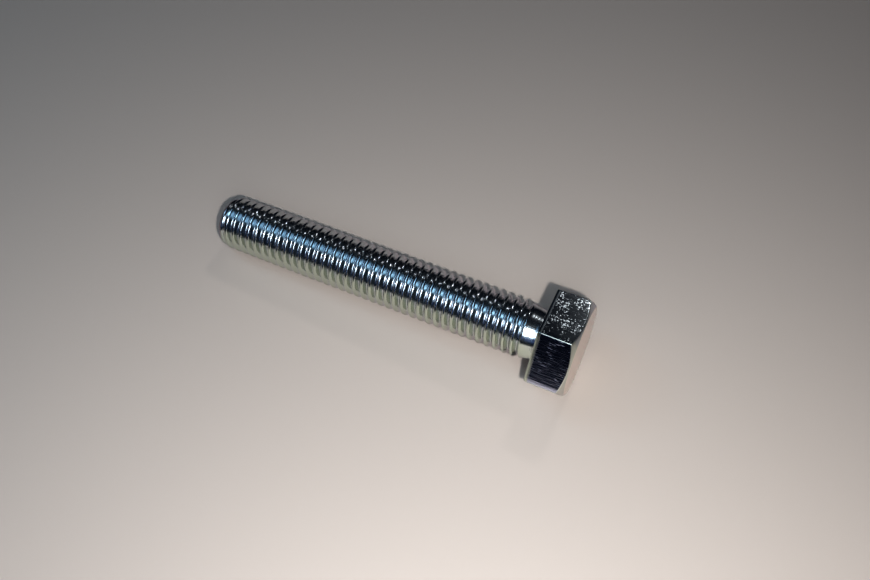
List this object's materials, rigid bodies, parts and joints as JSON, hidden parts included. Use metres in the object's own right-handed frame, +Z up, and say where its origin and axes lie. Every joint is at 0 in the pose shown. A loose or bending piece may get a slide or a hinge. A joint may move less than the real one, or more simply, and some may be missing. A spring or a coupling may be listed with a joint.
{
  "type": "hex head screw",
  "caption": "Fully threaded metric hexagon head screw in bright zinc-plated steel, lying at rest on one flat of its head and on its thread.",
  "frame": {"origin": "on the surface that the screw lies on, under the middle of its length and under its axis", "axes": "+X along the shank towards the head, +Z up; the screw's axis falls by 2.93 degrees from the head towards the point, in the XZ plane"},
  "size_m": [0.0556, 0.0148, 0.0131],
  "materials": {
    "zinc_plate": "bright zinc plating with a faint blue tint, smooth on the thread and finely streaked and pitted on the head"
  },
  "bodies": {
    "root": {"hex_screw": "zinc_plate"}
  },
  "joints": []
}
